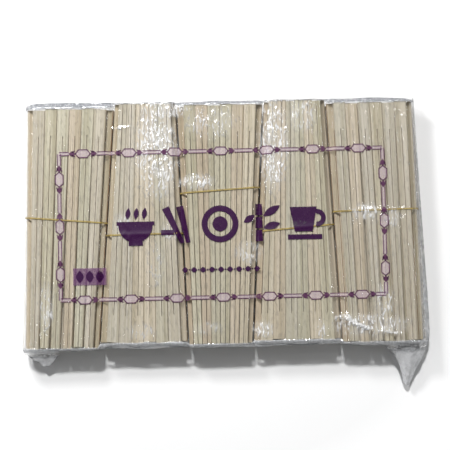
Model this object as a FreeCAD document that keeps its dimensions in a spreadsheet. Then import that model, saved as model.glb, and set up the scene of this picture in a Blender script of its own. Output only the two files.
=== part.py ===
import FreeCAD, Part
import math
import os

import Sketcher

# A sealed pack of twin chopsticks. Five bundles lie side by side in a clear film bag, head to tail in
# turn, and one rubber band holds each bundle. Sizes are in millimetres. X runs across the bundles,
# Y along the sticks and Z up, and the origin is the middle of the pack's flat underside.

sizes = {
    "stick_length": 203,  # a twin chopstick, from its joined head to its two tips
    "head_width": 10.3,
    "tip_width": 7.2,
    "stick_thick": 4.8,
    "slit_width": 0.5,  # between the two sticks of a pair, open at the tips
    "slit_length": 180,
    "edge_chamfer": 0.5,  # on a pair's long outer edges
    "wide_row": 7,  # pairs side by side in the middle rows of a bundle
    "end_row": 6,  # pairs in its lowest and highest rows
    "rows": 6,
    "end_slip": 0.8,  # how far a pair may lie lengthways out of line
    "band_width": 1.2,
    "band_thick": 0.9,
    "clearance": 0.3,  # around the soft pieces, the rubber bands and the film
    "bundle_room": 0.7,  # from one bundle's band to the next bundle, beyond the clearance
    "film_thick": 0.3,
    "valley_depth": 2.5,  # how far the film sinks between two bundles
    "seal_height": 13,  # of the flat end seals above the underside
    "right_fin_width": 6.5,  # film beyond the right-hand side
    "right_fin_length": 55,
    "right_ear_width": 34,  # the spare corner of film, beyond the -Y end
    "right_ear_length": 38,
    "left_fin_width": 1.2,
    "left_fin_length": 45,
    "left_ear_width": 31,
    "left_ear_length": 15,
}

# What differs from bundle to bundle, from the left. The shift is along Y, the gaps are between
# neighbours of a row at their heads and at their tips, and the band's turn is from square across
# its bundle, in degrees.
bundleSizes = [
    {"shift": -1.0, "head_gap": 0.12, "tip_gap": 1.93, "band_from_head": 94.9, "band_turn": -2.1},
    {"shift": 2.5, "head_gap": 0.2, "tip_gap": 0.12, "band_from_head": 91.5, "band_turn": 1.8},
    {"shift": 0.3, "head_gap": 0.12, "tip_gap": 0.43, "band_from_head": 73.2, "band_turn": 4.2},
    {"shift": 2.5, "head_gap": 0.2, "tip_gap": 0.12, "band_from_head": 94.3, "band_turn": 4.8},
    {"shift": -0.4, "head_gap": 0.12, "tip_gap": 2.93, "band_from_head": 92, "band_turn": -0.9},
]

up = FreeCAD.Vector(0, 0, 1)
doc = FreeCAD.newDocument("chopstick_pack")
sheet = doc.addObject("Spreadsheet::Sheet", "Sheet")


def fillSheet():
    # one line for each driving size, with its name as the alias
    cells = dict(sizes)
    for number, bundle in enumerate(bundleSizes, 1):
        cells.update({f"bundle_{number}_{name}": value for name, value in bundle.items()})
    for line, (name, value) in enumerate(cells.items(), 1):
        sheet.set(f"A{line}", name)
        sheet.set(f"B{line}", str(value))
        sheet.setAlias(f"B{line}", name)
    doc.recompute()


def size(name):
    return float(sheet.get(name))


# Sketches and outlines


def addSketch(body, name, role, offset=0.0):
    # on one of the body's own origin planes, moved along that plane's normal
    sketch = body.newObject("Sketcher::SketchObject", name)
    plane = next(p for p in body.Origin.OriginFeatures if p.Role == role)
    sketch.AttachmentSupport = [(plane, "")]
    sketch.MapMode = "FlatFace"
    sketch.AttachmentOffset = FreeCAD.Placement(FreeCAD.Vector(0, 0, offset), FreeCAD.Rotation())
    return sketch


def addLines(sketch, points):
    # a closed chain of straight lines, each starting where the one before it ends
    first = sketch.GeometryCount
    corners = [FreeCAD.Vector(x, y, 0) for x, y in points]
    for start, end in zip(corners, corners[1:] + corners[:1]):
        sketch.addGeometry(Part.LineSegment(start, end), False)
    for number in range(len(corners)):
        after = (number + 1) % len(corners)
        sketch.addConstraint(Sketcher.Constraint("Coincident", first + number, 2, first + after, 1))
    return first


def addHeldLines(sketch, points):
    # the same chain, with each corner held at its distances from the sketch's origin
    first = addLines(sketch, points)
    for line, (x, y) in enumerate(points, first):
        for kind, value, axis in (("DistanceX", x, -2), ("DistanceY", y, -1)):
            if abs(value) < 1e-6:
                sketch.addConstraint(Sketcher.Constraint("PointOnObject", line, 1, axis))
            else:
                sketch.addConstraint(Sketcher.Constraint(kind, -1, 1, line, 1, value))


def addDimension(sketch, name, expression, *reference):
    index = sketch.addConstraint(Sketcher.Constraint(*reference))
    sketch.renameConstraint(index, name)
    sketch.setExpression(f"Constraints.{name}", expression)


def offsetOutline(points, distance):
    # moves every side of a counter-clockwise outline outwards, with mitred corners
    moved = []
    for before, here, after in zip(points[-1:] + points[:-1], points, points[1:] + points[:1]):
        normals = []
        for (x0, y0), (x1, y1) in ((before, here), (here, after)):
            length = math.hypot(x1 - x0, y1 - y0)
            normals.append(((y1 - y0) / length, (x0 - x1) / length))
        (ax, ay), (bx, by) = normals
        reach = distance / (1 + ax * bx + ay * by)
        moved.append((here[0] + reach * (ax + bx), here[1] + reach * (ay + by)))
    return moved


def addPad(body, name, sketch, expression, symmetric=False):
    pad = body.newObject("PartDesign::Pad", name)
    pad.Profile = sketch
    pad.SideType = "Symmetric" if symmetric else "One side"
    pad.setExpression("Length", expression)
    sketch.Visibility = False
    return pad


# The twin chopstick: a tapered strip, slit up the middle from its tips and still joined at its head


def addTwinStick():
    body = doc.addObject("PartDesign::Body", "twin_chopstick")
    sketch = addSketch(body, "strip_outline", "XY_Plane")
    head, tip, slit = size("head_width") / 2, size("tip_width") / 2, size("slit_width") / 2
    far = size("stick_length") / 2
    slitTop = size("slit_length") - far
    addLines(sketch, [
        (head, far), (-head, far), (-tip, -far), (-slit, -far),
        (-slit, slitTop), (slit, slitTop), (slit, -far), (tip, -far),
    ])
    headEnd, leftTip, slitEnd, rightTip = 0, 2, 4, 6
    for line in (headEnd, slitEnd):
        sketch.addConstraint(Sketcher.Constraint("Symmetric", line, 1, line, 2, -2))
    sketch.addConstraint(Sketcher.Constraint("Symmetric", leftTip, 1, rightTip, 2, -2))
    for line in (leftTip, rightTip):
        sketch.addConstraint(Sketcher.Constraint("Horizontal", line))
    for line in (leftTip + 1, rightTip - 1):
        sketch.addConstraint(Sketcher.Constraint("Vertical", line))
    addDimension(sketch, "head_width", "Sheet.head_width", "DistanceX", headEnd, 2, headEnd, 1, 2 * head)
    addDimension(sketch, "tip_width", "Sheet.tip_width", "DistanceX", leftTip, 1, rightTip, 2, 2 * tip)
    addDimension(sketch, "slit_width", "Sheet.slit_width", "DistanceX", slitEnd, 1, slitEnd, 2, 2 * slit)
    addDimension(sketch, "stick_length", "Sheet.stick_length", "DistanceY", leftTip, 1, headEnd, 2, 2 * far)
    addDimension(sketch, "head_height", "Sheet.stick_length / 2", "DistanceY", -1, 1, headEnd, 2, far)
    addDimension(
        sketch, "slit_length", "Sheet.slit_length", "DistanceY", leftTip, 2, slitEnd, 1, far + slitTop
    )
    pad = addPad(body, "strip", sketch, "Sheet.stick_thick")
    doc.recompute()
    chamfer = body.newObject("PartDesign::Chamfer", "eased_edges")
    chamfer.Base = (pad, [
        f"Edge{number}" for number, edge in enumerate(pad.Shape.Edges, 1)
        if edge.BoundBox.YLength > far and min(abs(v.X) for v in edge.Vertexes) > 2 * slit
    ])
    chamfer.setExpression("Size", "Sheet.edge_chamfer")
    return body


# Bundles: rows of pairs fanned from a head pitch to a tip pitch


def rowHalfWidth(bundle, count, fromHead):
    # half of a row's width across its bundle, at a distance from the heads
    share = fromHead / size("stick_length")
    pitch = bundle["headPitch"] * (1 - share) + bundle["tipPitch"] * share
    width = size("head_width") * (1 - share) + size("tip_width") * share
    return ((count - 1) * pitch + width) / 2


def halfWidthAtEnd(bundle, count, end):
    headsHere = (end > 0) == bundle["headsUp"]
    return rowHalfWidth(bundle, count, 0 if headsHere else size("stick_length"))


def bundleSpacing():
    # between the widest rows of two bundles, wide enough for a band
    return size("band_thick") + size("clearance") + size("bundle_room")


def layOutBundles():
    # side by side at the +Y end and again at the -Y end, each time centred on the pack
    bundles = []
    for number in range(1, len(bundleSizes) + 1):
        name = f"bundle_{number}"
        bundles.append({
            "name": name,
            "number": number,
            "headsUp": number % 2 == 1,
            "headPitch": size("head_width") + size(f"{name}_head_gap"),
            "tipPitch": size("tip_width") + size(f"{name}_tip_gap"),
            "centre": {},
        })
    for end in (1, -1):
        side = 0.0
        for bundle in bundles:
            half = halfWidthAtEnd(bundle, size("wide_row"), end)
            bundle["centre"][end] = side + half
            side += 2 * half + bundleSpacing()
        middle = (side - bundleSpacing()) / 2
        for bundle in bundles:
            bundle["centre"][end] -= middle
    for bundle in bundles:
        top, bottom = bundle["centre"][1], bundle["centre"][-1]
        bundle["lean"] = -math.atan2(top - bottom, size("stick_length"))
        turn = math.degrees(bundle["lean"]) + (0 if bundle["headsUp"] else 180)
        base = FreeCAD.Vector((top + bottom) / 2, size(f"{bundle['name']}_shift"), bundleFloor())
        bundle["placement"] = FreeCAD.Placement(base, FreeCAD.Rotation(up, turn))
    return bundles


def bundleFloor():
    # the lowest row lies on the rubber band, and the band on the film
    return size("film_thick") + size("band_thick")


def bundleTop():
    return bundleFloor() + size("rows") * size("stick_thick")


def stickPlacement(bundle, row, place, count):
    # the pair's middle, and its turn from its place in the fan
    step = place - (count - 1) / 2
    headX, tipX = step * bundle["headPitch"], step * bundle["tipPitch"]
    slip = size("end_slip") * math.sin(2.4 * place + 1.7 * row + 0.9 * bundle["number"])
    x = (headX + tipX) / 2
    y = slip - x * math.tan(bundle["lean"])
    fan = -math.degrees(math.atan2(headX - tipX, size("stick_length")))
    return FreeCAD.Placement(FreeCAD.Vector(x, y, 0), FreeCAD.Rotation(up, fan))


def addRow(bundle, row, twinStick):
    # row 1 is the lowest
    last = int(size("rows"))
    count = int(size("end_row") if row in (1, last) else size("wide_row"))
    links = []
    for place in range(count):
        link = doc.addObject("App::Link", f"{bundle['name']}_{row}_{place + 1}")
        link.LinkedObject = twinStick
        link.Placement = stickPlacement(bundle, row, place, count)
        links.append(link)
    rowPart = doc.addObject("Part::Compound", f"{bundle['name']}_row_{row}")
    rowPart.Links = links
    lift = FreeCAD.Placement(up * ((row - 1) * size("stick_thick")), FreeCAD.Rotation())
    rowPart.Placement = bundle["placement"].multiply(lift)
    return rowPart


def addBand(bundle):
    # the band follows the bundle's eight-sided section, flat against its top and underside
    name = bundle["name"]
    fromHead = size(f"{name}_band_from_head")
    turn = size(f"{name}_band_turn")
    stretch = 1 / math.cos(math.radians(turn))
    narrow = rowHalfWidth(bundle, size("end_row"), fromHead) * stretch + size("clearance")
    wide = rowHalfWidth(bundle, size("wide_row"), fromHead) * stretch + size("clearance")
    thick, top = size("stick_thick"), size("rows") * size("stick_thick")
    inside = [
        (-narrow, 0), (narrow, 0), (wide, thick), (wide, top - thick),
        (narrow, top), (-narrow, top), (-wide, top - thick), (-wide, thick),
    ]
    outside = offsetOutline(inside, size("band_thick"))
    body = doc.addObject("PartDesign::Body", f"{name}_band")
    sketch = addSketch(body, f"{name}_loop", "XZ_Plane")
    addHeldLines(sketch, inside)
    addHeldLines(sketch, outside)
    pad = addPad(body, f"{name}_ring", sketch, "Sheet.band_width", symmetric=True)
    doc.recompute()
    fillet = body.newObject("PartDesign::Fillet", f"{name}_corners")
    fillet.Base = (pad, [
        f"Edge{number}" for number, edge in enumerate(pad.Shape.Edges, 1)
        if edge.BoundBox.YLength > size("band_width") / 2
        and min(math.hypot(edge.Vertexes[0].X - x, edge.Vertexes[0].Z - z) for x, z in outside) < 0.01
    ])
    fillet.setExpression("Radius", "Sheet.band_thick")
    place = FreeCAD.Placement(
        FreeCAD.Vector(0, size("stick_length") / 2 - fromHead, 0), FreeCAD.Rotation(up, turn)
    )
    body.Placement = bundle["placement"].multiply(place)
    return body


# The film bag: one closed skin around all bundles, and the spare film of its two end seals


def filmTop():
    return bundleTop() + size("band_thick") + size("clearance") + size("film_thick")


def filmEnd(bundles):
    # the film's outer face at both ends, past the sticks that reach furthest
    reach = 0.0
    for bundle in bundles:
        fan = math.atan2(
            (size("wide_row") - 1) / 2 * (bundle["headPitch"] - bundle["tipPitch"]), size("stick_length")
        )
        corner = size("head_width") / 2 * math.sin(abs(bundle["lean"]) + abs(fan))
        reach = max(reach, abs(size(f"{bundle['name']}_shift")) + corner)
    return size("stick_length") / 2 + reach + size("end_slip") + size("clearance") + size("film_thick")


def filmSection(bundles, end, inset, below=0.0):
    # counter-clockwise from the lower left: a flat underside, two sides and a crown over each bundle,
    # with a skirt below the underside where one is asked for
    room = size("band_thick") + 2 * size("clearance") + size("film_thick") - inset
    shoulder = size("band_thick") + size("clearance") + size("film_thick") - inset
    top = filmTop() - inset
    low, high = inset + size("stick_thick"), top - size("stick_thick")
    sides = [
        (b["centre"][end], halfWidthAtEnd(b, size("end_row"), end), halfWidthAtEnd(b, size("wide_row"), end))
        for b in bundles
    ]
    leftCentre, leftNarrow, leftWide = sides[0]
    rightCentre, rightNarrow, rightWide = sides[-1]
    leftFoot, rightFoot = leftCentre - leftNarrow - room, rightCentre + rightNarrow + room
    points = [(leftFoot, inset)]
    if below:
        points += [(leftFoot, inset - below), (rightFoot, inset - below)]
    points += [
        (rightFoot, inset),
        (rightCentre + rightWide + room, low),
        (rightCentre + rightWide + room, high),
    ]
    for number in range(len(sides) - 1, -1, -1):
        centre, narrow, wide = sides[number]
        points.append((centre + narrow + shoulder, top))
        points.append((centre - narrow - shoulder, top))
        if number > 0:
            seam = centre - wide - bundleSpacing() / 2
            points.append((seam, top - size("valley_depth")))
    points.append((leftCentre - leftWide - room, high))
    points.append((leftCentre - leftWide - room, low))
    return points


def addFilmLoft(body, kind, name, bundles, inset, below=0.0):
    # straight between the section at one end and the section at the other
    sketches = []
    for end, label in ((1, "far"), (-1, "near")):
        y = end * (filmEnd(bundles) - inset)
        sketch = addSketch(body, f"{name}_{label}", "XZ_Plane", -y)
        addHeldLines(sketch, filmSection(bundles, end, inset, below))
        sketches.append(sketch)
    loft = body.newObject(kind, name)
    loft.Profile = sketches[0]
    loft.Sections = [sketches[1]]
    loft.Ruled = True
    for sketch in sketches:
        sketch.Visibility = False


def sealOutline(side, name, cornerX, cornerY):
    # spare film at one corner: a fin along the side, then an ear that points past the end
    finWidth, finLength = size(f"{name}_fin_width"), size(f"{name}_fin_length")
    earWidth, earLength = size(f"{name}_ear_width"), size(f"{name}_ear_length")
    outwards = [
        (-earWidth, finLength), (0, finLength), (finWidth, 0.45 * finLength), (0.7 * finWidth, 0),
        (-0.06 * earWidth, -0.22 * earLength), (-0.4 * earWidth, -earLength),
        (-0.68 * earWidth, -0.3 * earLength), (-earWidth, 0),
    ]
    return [(cornerX + side * x, cornerY + y) for x, y in outwards]


def addSeal(bundles, side, name):
    # two films sealed flat together, ending against the bag's outer face
    body = doc.addObject("PartDesign::Body", f"{name}_seal")
    cornerX = side * max(side * x for x, z in filmSection(bundles, -1, 0))
    sketch = addSketch(body, f"{name}_seal_outline", "XY_Plane", size("seal_height"))
    addHeldLines(sketch, sealOutline(side, name, cornerX, -filmEnd(bundles)))
    addPad(body, f"{name}_sheet", sketch, "2 * Sheet.film_thick", symmetric=True)
    addFilmLoft(body, "PartDesign::SubtractiveLoft", f"{name}_bag_room", bundles, 0)
    return body


def trimUnderside(body, bundles):
    # cuts the skirt off level, which leaves one flat face for the pack to lie on
    below = size("film_thick")
    halfX = max(abs(x) for end in (1, -1) for x, z in filmSection(bundles, end, 0)) + below
    halfY = filmEnd(bundles) + below
    sketch = addSketch(body, "underside_outline", "XY_Plane")
    addHeldLines(sketch, [(-halfX, -halfY), (halfX, -halfY), (halfX, halfY), (-halfX, halfY)])
    pocket = body.newObject("PartDesign::Pocket", "underside_trim")
    pocket.Profile = sketch
    pocket.setExpression("Length", "2 * Sheet.film_thick")
    sketch.Visibility = False
    doc.recompute()
    if pocket.Shape.BoundBox.ZMin < -1e-6:
        raise RuntimeError("the underside wasn't cut level")


def addBag(bundles):
    body = doc.addObject("PartDesign::Body", "bag")
    addFilmLoft(body, "PartDesign::AdditiveLoft", "film_outside", bundles, 0, size("film_thick"))
    trimUnderside(body, bundles)
    addFilmLoft(body, "PartDesign::SubtractiveLoft", "film_inside", bundles, size("film_thick"))
    return body


def writeParts(parts):
    doc.recompute()
    for item in doc.Objects:
        bad = {"Invalid", "Error"} & set(item.State)
        if bad:
            raise RuntimeError(f"{item.Label} is in state {sorted(bad)}")
    os.makedirs("parts", exist_ok=True)
    for part in parts:
        shape = part.Shape
        if shape.isNull() or not shape.isValid():
            raise RuntimeError(f"{part.Label} has no valid shape")
        shape.exportStep(f"parts/{part.Label}.step")
        print(part.Label, len(shape.Solids), "solids", round(shape.Volume), "mm3")


fillSheet()
allBundles = layOutBundles()
twin = addTwinStick()
parts = []
for oneBundle in allBundles:
    for rowNumber in range(1, int(size("rows")) + 1):
        parts.append(addRow(oneBundle, rowNumber, twin))
    parts.append(addBand(oneBundle))
parts.append(addBag(allBundles))
parts.append(addSeal(allBundles, 1, "right"))
parts.append(addSeal(allBundles, -1, "left"))
writeParts(parts)
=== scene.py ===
import math

import bpy
import numpy as np
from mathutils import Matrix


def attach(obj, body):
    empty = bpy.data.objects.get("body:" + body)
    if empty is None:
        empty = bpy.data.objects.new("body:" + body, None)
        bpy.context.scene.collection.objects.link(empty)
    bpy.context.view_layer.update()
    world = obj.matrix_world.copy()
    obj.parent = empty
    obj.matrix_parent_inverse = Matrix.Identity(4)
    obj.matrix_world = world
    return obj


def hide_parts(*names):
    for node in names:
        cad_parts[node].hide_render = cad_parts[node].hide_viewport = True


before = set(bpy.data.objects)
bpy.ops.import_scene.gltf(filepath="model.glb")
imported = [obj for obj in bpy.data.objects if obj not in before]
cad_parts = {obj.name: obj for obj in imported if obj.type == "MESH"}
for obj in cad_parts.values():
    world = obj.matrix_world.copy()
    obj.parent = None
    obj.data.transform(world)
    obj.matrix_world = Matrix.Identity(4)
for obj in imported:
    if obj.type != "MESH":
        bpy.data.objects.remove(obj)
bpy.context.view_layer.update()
mm = 0.001
print("frame loaded:", len(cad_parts), "nodes")


# Small helpers for shapes and materials

def smoothStep(value):
    # 0 below 0, 1 above 1, and 3v2 - 2v3 between them
    v = np.clip(value, 0.0, 1.0)
    return v * v * (3 - 2 * v)


def nodePoints(name):
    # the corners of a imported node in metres, one to a row
    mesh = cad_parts[name].data
    points = np.zeros(len(mesh.vertices) * 3, np.float32)
    mesh.vertices.foreach_get("co", points)
    return points.reshape(-1, 3).astype(float)


def gridQuads(rows, columns, start=0, closed=False):
    # vertex numbers of a grid's squares, row by row; closed joins the last row to the first
    number = np.arange(rows * columns).reshape(rows, columns) + start
    if closed:
        number = np.vstack([number, number[:1]])
    corners = [number[:-1, :-1], number[:-1, 1:], number[1:, 1:], number[1:, :-1]]
    return np.stack(corners, -1).reshape(-1, 4)


def newPiece(name, points, faces, material, smooth=True):
    # an object in the scene, from its points and faces, in one material
    mesh = bpy.data.meshes.new(name)
    mesh.from_pydata(points.tolist(), [], faces)
    mesh.polygons.foreach_set("use_smooth", [smooth] * len(mesh.polygons))
    mesh.materials.append(material)
    mesh.update()
    piece = bpy.data.objects.new(name, mesh)
    bpy.context.scene.collection.objects.link(piece)
    return piece


def addValues(piece, name, domain, values):
    # a named number for each point or face corner, which a material reads
    layer = piece.data.attributes.new(name, "FLOAT", domain)
    layer.data.foreach_set("value", values.astype(np.float32).ravel())


class Nodes:
    # one material's or world's node tree: add a node, with links to its inputs given by name
    def __init__(self, owner, outputKind):
        owner.use_nodes = True
        self.tree = owner.node_tree
        self.tree.nodes.clear()
        self.output = self.tree.nodes.new(outputKind)

    def add(self, kind, inputs=None, **settings):
        node = self.tree.nodes.new(kind)
        for key, value in settings.items():
            setattr(node, key, value)
        for key, value in (inputs or {}).items():
            if isinstance(value, bpy.types.NodeSocket):
                self.tree.links.new(value, node.inputs[key])
            else:
                node.inputs[key].default_value = value
        return node

    def place(self):
        return self.add("ShaderNodeTexCoord").outputs["Object"]

    def scaled(self, vector, scale, turn=0.0):
        inputs = {"Vector": vector, "Scale": scale, "Rotation": (0.0, 0.0, turn)}
        return self.add("ShaderNodeMapping", inputs).outputs["Vector"]

    def noise(self, vector, scale, detail=2.0, **more):
        inputs = {"Vector": vector, "Scale": scale, "Detail": detail, **more}
        return self.add("ShaderNodeTexNoise", inputs).outputs["Fac"]

    def attribute(self, name):
        return self.add("ShaderNodeAttribute", attribute_name=name).outputs["Fac"]

    def math(self, operation, a, b=0.0):
        return self.add("ShaderNodeMath", {0: a, 1: b}, operation=operation).outputs[0]

    def ranged(self, value, low, high, start=0.0, end=1.0):
        # from low to high as the value goes from start to end
        inputs = {"Value": value, "From Min": start, "From Max": end, "To Min": low, "To Max": high}
        return self.add("ShaderNodeMapRange", inputs).outputs["Result"]

    def ramp(self, value, stops):
        node = self.add("ShaderNodeValToRGB", {"Fac": value})
        elements = node.color_ramp.elements
        while len(elements) < len(stops):
            elements.new(0.5)
        for element, (at, colour) in zip(elements, stops):
            element.position = at
            element.color = (*colour, 1.0)
        return node.outputs["Color"]

    def mixed(self, factor, a, b, blend="MIX"):
        inputs = {"Factor": factor, "A": a, "B": b}
        node = self.add("ShaderNodeMix", data_type="RGBA", blend_type=blend)
        for key, value in inputs.items():
            socket = next(s for s in node.inputs if s.name == key and s.enabled)
            if isinstance(value, bpy.types.NodeSocket):
                self.tree.links.new(value, socket)
            else:
                socket.default_value = (*value, 1.0) if key != "Factor" else value
        return next(s for s in node.outputs if s.enabled)

    def bump(self, height, distance, strength=1.0, normal=None):
        inputs = {"Height": height, "Distance": distance, "Strength": strength}
        if normal:
            inputs["Normal"] = normal
        return self.add("ShaderNodeBump", inputs).outputs["Normal"]

    def finish(self, shader):
        self.tree.links.new(shader.outputs[0], self.output.inputs["Surface"])


def newMaterial(name):
    material = bpy.data.materials.new(name)
    return material, Nodes(material, "ShaderNodeOutputMaterial")


# Where the bundles lie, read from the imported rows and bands

bundleNumbers = range(1, 6)
rowNumbers = range(1, 7)
wideRow, topRow = 5, 6  # the rows are numbered from the lowest


def rowEdges(points):
    # the X of a row's left side and of its right side, each near the -Y and the +Y ends of the sticks
    far = 90 * mm
    lower, upper = points[points[:, 1] < -far, 0], points[points[:, 1] > far, 0]
    return (lower.min(), upper.min()), (lower.max(), upper.max())


def bundleFacts(number):
    # the sides of the wide row and of the narrower one on top, how far and how high the top one
    # reaches, and the two sides of the band with its Y at each
    wide, top = [nodePoints(f"bundle_{number}_row_{row}") for row in (wideRow, topRow)]
    band = nodePoints(f"bundle_{number}_band")
    left, right = band[:, 0].min(), band[:, 0].max()
    near = 2 * mm
    return {
        "wide": rowEdges(wide),
        "narrow": rowEdges(top),
        "ends": (top[:, 1].min(), top[:, 1].max()),
        "stickTop": top[:, 2].max(),
        "bandX": (left, right),
        "bandY": (band[band[:, 0] < left + near, 1].mean(), band[band[:, 0] > right - near, 1].mean()),
    }


bundles = [bundleFacts(number) for number in bundleNumbers]
stickEnd = 101.5 * mm  # half of a stick's length
stickTop = max(b["stickTop"] for b in bundles)


def edgeAt(pair, y):
    # a straight edge's X at a given Y, from its two ends
    return np.interp(y, (-stickEnd, stickEnd), pair)


def sticksEnd(x, side, inset=0.5 * mm):
    # how far the top sticks reach at this X, towards +Y or -Y: level over each bundle, apart from its
    # outer parts, the inset, which slope to the next bundle
    end = 1 if side > 0 else 0
    places = [b["wide"][edge][end] + (1 - 2 * edge) * inset for b in bundles for edge in (0, 1)]
    return np.interp(x, places, [abs(b["ends"][end]) for b in bundles for edge in (0, 1)])


# The twin chopsticks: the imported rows, with each pair rolled and lifted a little and given its own tint

chopsticks = {
    "facesPerPair": 44,
    "joinDigits": 7,      # corners alike to this many decimals of a metre become one
    "roll": 1.1,          # degrees, about the pair's own length
    "lift": 0.10 * mm,    # keeps a rolled pair clear of the row below
    "sway": 0.4,          # share of the gap at the loose ends that a pair may lean into
    "seed": 11,
    "fibreScale": (1700, 10, 1),  # to a metre, across and along the stick
    "streakScale": (520, 4, 1),
    "broadScale": (190, 2, 1),
    "vesselScale": 1900.0,
    "grainShift": 5.0,            # so that no two pairs have the same grain
    "grainDown": 0.4,             # how fast the grain changes down a stick's side
    "innerSkin": 0.12,            # how brown a pair is at most, from 0 to 1
    "seamPaintedShade": 0.5,              # painted shade: this much brown on the outer pairs of the wide row, for the seams they lie in
    "outerPaintedShade": 0.1,             # and a little painted shade on the outer pairs of the other rows
    "pale": (0.515, 0.47, 0.385),
    "warm": (0.448, 0.388, 0.308),
    "green": (0.430, 0.412, 0.322),
    "grey": (0.470, 0.444, 0.386),
    "skin": (0.33, 0.265, 0.18),  # a brown skin tone, mixed in a little at random and more on the outermost pairs as painted shade in the seams
    "cut": (0.88, 0.83, 0.74),    # the faces inside the slit and between pairs: their own paler tone, lightened further as painted light that fills the gaps' shade
    "edge": (0.78, 0.56, 0.34),   # the same faces on brown pairs, most on the outermost ones as painted shade in the seams
    "broadDark": (0.92, 0.91, 0.89),
    "broadPale": (1.07, 1.07, 1.08),
    "fibreDark": (0.80, 0.775, 0.72),
    "fibrePale": (1.10, 1.10, 1.10),
    "streakDark": (0.86, 0.845, 0.79),
    "streakPale": (1.07, 1.07, 1.07),
    "endGrain": (0.30, 0.235, 0.15),
}


def makeBamboo():
    # long fibres and broader streaks from noise stretched along the pair's own UV, tinted pair by
    # pair, with dark vessel dots where the stick is cut across
    material, n = newMaterial("plain bamboo")
    uv = n.add("ShaderNodeUVMap", uv_map="grain").outputs["UV"]
    family = n.ramp(n.attribute("tint"), [
        (0.0, chopsticks["warm"]), (0.25, chopsticks["pale"]), (0.5, chopsticks["green"]),
        (0.75, chopsticks["grey"]), (1.0, chopsticks["pale"]),
    ])
    # the pairs' brown tone: random on most pairs, raised on the outermost ones as painted shade in the
    # seams
    skin = n.attribute("skin")
    family = n.mixed(skin, family, chopsticks["skin"])
    fibre = n.noise(n.scaled(uv, chopsticks["fibreScale"]), 1.0, 3.0, Roughness=0.65)
    streak = n.noise(n.scaled(uv, chopsticks["streakScale"]), 1.0, 2.0)
    broad = n.ramp(n.noise(n.scaled(uv, chopsticks["broadScale"]), 1.0, 1.0), [
        (0.38, chopsticks["broadDark"]), (0.62, chopsticks["broadPale"]),
    ])
    family = n.mixed(1.0, family, broad, "MULTIPLY")
    fibred = n.ramp(fibre, [(0.34, chopsticks["fibreDark"]), (0.62, chopsticks["fibrePale"])])
    streaked = n.ramp(streak, [(0.38, chopsticks["streakDark"]), (0.6, chopsticks["streakPale"])])
    sides = n.mixed(1.0, n.mixed(1.0, family, fibred, "MULTIPLY"), streaked, "MULTIPLY")
    vessels = {"Vector": n.place(), "Scale": chopsticks["vesselScale"]}
    dots = n.add("ShaderNodeTexVoronoi", vessels).outputs["Distance"]
    facing = n.add("ShaderNodeSeparateXYZ", {0: n.add("ShaderNodeNewGeometry").outputs["Normal"]})
    # faces turned sideways, inside the slit and between pairs, take the pale cut colour: partly their own
    # tone, partly painted light in the gaps' shade
    inner = n.ranged(n.math("ABSOLUTE", facing.outputs["X"]), 0.0, 0.85, 0.7, 0.95)
    cutEnd = n.ranged(n.math("ABSOLUTE", facing.outputs["Y"]), 0.0, 1.0, 0.75, 0.9)
    endGrain = n.mixed(n.ranged(dots, 0.75, 0.1, 0.12, 0.4), family, chopsticks["endGrain"])
    # on brown pairs the cut faces turn browner too, most on the outermost ones as painted shade in the
    # seams
    cut = n.mixed(n.math("MULTIPLY", skin, 2.0), chopsticks["cut"], chopsticks["edge"])
    colour = n.mixed(cutEnd, n.mixed(inner, sides, cut), endGrain)
    shader = n.add("ShaderNodeBsdfPrincipled", {
        "Base Color": colour, "Roughness": n.ranged(fibre, 0.74, 0.5), "Specular IOR Level": 0.25,
        "Normal": n.bump(fibre, 0.1 * mm, 0.5),
    })
    n.finish(shader)
    return material


def pairEnds(points):
    # the least and the greatest corner of each pair's lower and upper end
    near = 1.5 * mm
    edges = np.zeros((2, len(points), 2, 3))
    for pair, block in enumerate(points):
        lower = block[block[:, 1] < block[:, 1].min() + near]
        upper = block[block[:, 1] > block[:, 1].max() - near]
        edges[:, pair] = [(end.min(0), end.max(0)) for end in (lower, upper)]
    return edges


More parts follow.
